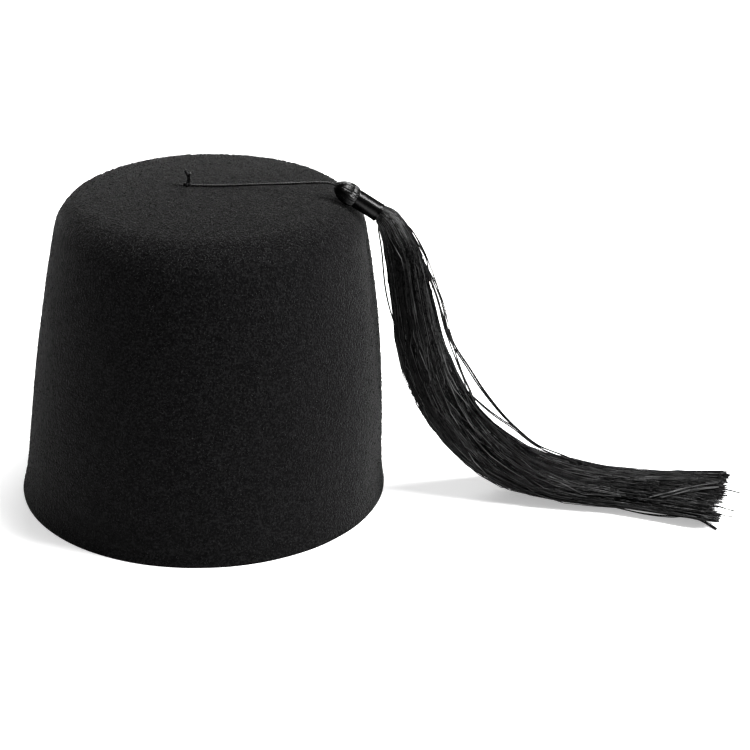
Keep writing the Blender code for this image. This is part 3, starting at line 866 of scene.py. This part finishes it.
combed_silk = silky_thread(
    "combed silk", darkest=0.0003, lightest=0.0900, gloss=0.08, roughness=0.13,
    twist_length=0.0012, ply_depth=0.00003, crimp_depth=0.0012,
)
draw = np.random.default_rng(11)
spots = seeds(THREAD_COUNT, THREAD_CROWD)
lock_spots = seeds(LOCK_COUNT, LOCK_CROWD)
lock_of = np.argmin(((spots[:, None] - lock_spots[None]) ** 2).sum(axis=2), axis=1)
near_share = (1 + spots[:, 0] * math.sin(LOCK_TURN) + spots[:, 1] * math.cos(LOCK_TURN)) / 2
up_share = spots[:, 0] * math.cos(LOCK_TURN) - spots[:, 1] * math.sin(LOCK_TURN)
from_notch = (near_share - NOTCH_TILT * up_share - NOTCH_PLACE) / NOTCH_WIDTH
own_length = skirt_length + FAR_SIDE_LONGER - CUT_SLANT * near_share
own_length -= NOTCH_DEPTH * np.exp(-(from_notch**2))
own_length += draw.normal(0.0, END_RAGGED, LOCK_COUNT)[lock_of]
own_length += draw.normal(0.0, END_RAGGED, THREAD_COUNT)
own_length = np.minimum(own_length, skirt_length + LONGEST_PAST_END)

even = np.linspace(0.0, 1.0, THREAD_POINTS)
slip = (draw.uniform(-0.5, 0.5, (THREAD_COUNT, 1)) / THREAD_POINTS) * np.sin(np.pi * even)
crowd_end = np.interp(own_length, skirt_run, point_crowd)[:, None]
run = np.interp((even + slip) * crowd_end, point_crowd, skirt_run)

loose = np.clip(run / FREE_AFTER, 0.0, 1.0)
pull_wave = draw.uniform(*LOCK_PULL_WAVE, LOCK_COUNT)[lock_of][:, None]
pull_phase = draw.uniform(0.0, 2 * np.pi, LOCK_COUNT)[lock_of][:, None]
pull = (LOCK_PULL + LOCK_PULL_CHANGE * np.sin(2 * np.pi * run / pull_wave + pull_phase)) * loose
crossing = (draw.uniform(0.0, 1.0, (THREAD_COUNT, 1)) < CROSSING_SHARE) * 1.0
shares = []
for axis in range(2):
    spot = spots[:, axis : axis + 1]
    centre = lock_spots[lock_of, axis][:, None]
    lock_drift = slow_wander(LOCK_COUNT, run, LOCK_DRIFT)[lock_of]
    own_drift = slow_wander(THREAD_COUNT, run, OWN_DRIFT) * (1 + CROSSING_DRIFT * crossing)
    shares.append(spot + (centre - spot) * pull + (lock_drift + own_drift) * loose)
reach = np.sqrt(shares[0] ** 2 + shares[1] ** 2)
proud = HELD_WITHIN + draw.exponential(STANDS_PROUD, (THREAD_COUNT, 1)) * loose
hold = np.minimum(1.0, proud / np.maximum(reach, 0.001))
thread_lines = skirt_places(run, shares[0] * hold, shares[1] * hold)
thread_lines[..., 2] = np.maximum(thread_lines[..., 2], THREAD_RADIUS + ABOVE_TABLE)
thread_radii = THREAD_RADIUS * (0.5 + 0.5 * np.clip(run / FULL_WIDTH_AFTER, 0.0, 1.0))

strand_spots = seeds(STRAND_COUNT, THREAD_CROWD)
strand_of = np.argmin(((spots[:, None] - strand_spots[None]) ** 2).sum(axis=2), axis=1)
strand_shade = STRAND_SHADE * draw.uniform(0.0, 1.0, STRAND_COUNT)[strand_of] ** STRAND_POWER
own_shade = OWN_SHADE * draw.uniform(0.0, 1.0, THREAD_COUNT) ** OWN_POWER
# A painted highlight: where the threads spread just below the binding, some are painted lighter, as if light
# catches them there.
spread_painted_highlight = SPREAD_PAINTED_HIGHLIGHT * draw.uniform(0.0, 1.0, (THREAD_COUNT, 1)) ** SPREAD_POWER
spread_painted_highlight = spread_painted_highlight * np.exp(-(((run - SPREAD_PLACE) / SPREAD_LENGTH) ** 2))
thread_shade = (strand_shade + own_shade)[:, None] + CROSSING_SHADE * crossing + spread_painted_highlight
thread_shade = np.clip(thread_shade, 0.0, LIGHTEST_SHADE)
skirt_sideways = unit(np.array((0.15, 0.99, 0.0)))
for number, part in enumerate(np.array_split(draw.permutation(THREAD_COUNT), SKIRT_PIECES)):
    name = f"skirt_threads_{number}"
    mesh = tube_mesh(
        name, thread_lines[part], thread_radii[part], np.ones(THREAD_CORNERS),
        np.zeros_like(thread_radii[part]), skirt_sideways, thread_shade[part],
    )
    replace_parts(add_piece(name, mesh, combed_silk), "tassel")

# ---------------------------------------------------------------- stray threads
# A few threads have slipped out of the skirt. They bow away from it beside the hat and over its
# lower bend, lie on the table along its near edge, and stick out of the cut end. Four light ones
# cross the end of the skirt.

# Each stray passes places given by how far down the skirt they are, and how far they stand from its
# middle: out from the hat, or up where it lies, and across towards the front.
OVER_BEND = (
    (0.046, 0.0120, 0.0), (0.066, 0.0145, 0.0), (0.083, 0.0165, 0.0), (0.102, 0.0195, 0.0),
    (0.125, 0.0205, 0.0), (0.150, 0.0190, 0.0), (0.170, 0.0160, 0.0), (0.190, 0.0120, -0.003),
    (0.208, 0.0020, -0.012),
)
UNDER_IT = (
    (0.112, 0.0130, 0.0), (0.127, 0.0155, 0.0), (0.150, 0.0180, 0.0), (0.169, 0.0155, 0.0),
    (0.188, 0.0110, -0.003), (0.206, 0.0020, -0.012),
)
ALONG_EDGE = (
    (0.030, 0.0085, 0.0), (0.038, 0.0105, 0.0), (0.047, 0.0125, 0.0), (0.058, 0.0140, 0.0),
    (0.073, 0.0145, 0.0), (0.087, 0.0150, 0.0), (0.100, 0.0145, 0.0), (0.112, 0.0140, 0.0),
    (0.128, 0.0115, 0.0),
)
SPREAD_OFF = (
    (0.010, 0.0055, 0.0), (0.017, 0.0080, 0.0), (0.025, 0.0095, 0.0), (0.034, 0.0110, 0.0),
    (0.044, 0.0105, 0.0),
)
FINE_RIGHT = (
    (0.012, 0.0065, 0.0), (0.020, 0.0090, 0.0), (0.036, 0.0120, 0.0), (0.053, 0.0145, 0.0),
    (0.075, 0.0155, 0.0),
)
FINE_FAR_RIGHT = (
    (0.012, 0.0065, 0.0), (0.022, 0.0095, 0.0), (0.042, 0.0135, 0.0), (0.066, 0.0160, 0.0),
    (0.088, 0.0170, 0.0),
)
LEFT_OF_SKIRT = (
    (0.003, -0.0040, 0.0), (0.009, -0.0065, 0.0), (0.021, -0.0090, 0.0), (0.041, -0.0115, 0.0),
    (0.056, -0.0115, 0.0), (0.068, -0.0100, 0.0),
)
BOWED_ON_TABLE = (
    (0.212, -0.0040, 0.008), (0.221, -0.0065, 0.011), (0.236, -0.0065, 0.0145), (0.248, -0.0065, 0.015),
    (0.256, -0.0065, 0.0135), (0.264, -0.0065, 0.0125),
)
TAIL_LOCK = (
    (0.228, -0.0030, 0.012), (0.249, -0.0055, 0.012), (0.262, -0.0065, 0.0145),
    (0.266, -0.0065, 0.0175), (0.271, -0.0065, 0.0235),
)
END_MIDDLE = (
    (0.260, -0.0030, 0.0055), (0.272, -0.0035, 0.005), (0.277, -0.0040, 0.006), (0.281, -0.0045, 0.006),
)
END_NEAR = (
    (0.262, -0.0040, 0.011), (0.272, -0.0045, 0.0105), (0.276, -0.0050, 0.0115), (0.280, -0.0055, 0.011),
)
END_FAR = (
    (0.256, -0.0010, -0.011), (0.272, -0.0015, -0.012), (0.279, -0.0025, -0.012),
    (0.285, -0.0035, -0.0115),
)
CROSSING_HIGH = (
    (0.232, 0.0020, 0.016), (0.245, 0.0055, 0.013), (0.258, 0.0080, 0.0075), (0.272, 0.0085, 0.001),
)
CROSSING_LOW = (
    (0.234, 0.0020, 0.016), (0.246, 0.0050, 0.014), (0.258, 0.0075, 0.010), (0.272, 0.0080, 0.0055),
)
STRAYS = (
    # threads, their radius, their shade, how far apart they wander, and their route
    (1, 0.00020, 0.15, 0.0, FINE_RIGHT),
    (3, 0.00042, 0.10, 0.0005, OVER_BEND),
    (9, 0.00024, 0.30, 0.0008, ALONG_EDGE),
    (2, 0.00038, 0.15, 0.0004, UNDER_IT),
    (3, 0.00028, 0.10, 0.0003, SPREAD_OFF),
    (1, 0.00020, 0.15, 0.0, FINE_FAR_RIGHT),
    (2, 0.00026, 0.10, 0.0003, LEFT_OF_SKIRT),
    (3, 0.00026, 0.15, 0.0005, BOWED_ON_TABLE),
    (9, 0.00028, 0.15, 0.0006, TAIL_LOCK),
    (2, 0.00030, 0.15, 0.0003, END_MIDDLE),
    (2, 0.00028, 0.15, 0.0003, END_NEAR),
    (2, 0.00032, 0.15, 0.0003, END_FAR),
    (2, 0.00030, 1.00, 0.0003, CROSSING_HIGH),
    (2, 0.00030, 1.00, 0.0003, CROSSING_LOW),
)
STRAY_POINTS = 34
STRAY_CORNERS = 4

draw = np.random.default_rng(23)
stray_lines = []
stray_radii = []
stray_shades = []
for threads, radius, shade, apart, route in STRAYS:
    down, out, across = smooth_rows(route, STRAY_POINTS - 1).T
    row = table_rows(down)
    passed = row[:, :3] + out[:, None] * row[:, 5:8] + across[:, None] * row[:, 8:11]
    for _ in range(threads):
        along = np.linspace(0.0, 1.0, STRAY_POINTS)[:, None]
        sway = np.sin(np.pi * along * draw.uniform(0.8, 1.6)) * draw.normal(0.0, 1.0, (1, 3))
        line = passed + apart * sway
        line[:, 2] = np.maximum(line[:, 2], radius + ABOVE_TABLE)
        stray_lines.append(line)
        stray_radii.append(np.full(STRAY_POINTS, radius))
        stray_shades.append(shade)
stray_lines = np.array(stray_lines)
stray_radii = np.array(stray_radii)
stray_mesh = tube_mesh(
    "stray_threads", stray_lines, stray_radii, np.ones(STRAY_CORNERS), np.zeros_like(stray_radii),
    skirt_sideways, np.array(stray_shades)[:, None],
)
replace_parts(add_piece("stray_threads", stray_mesh, combed_silk), "tassel")
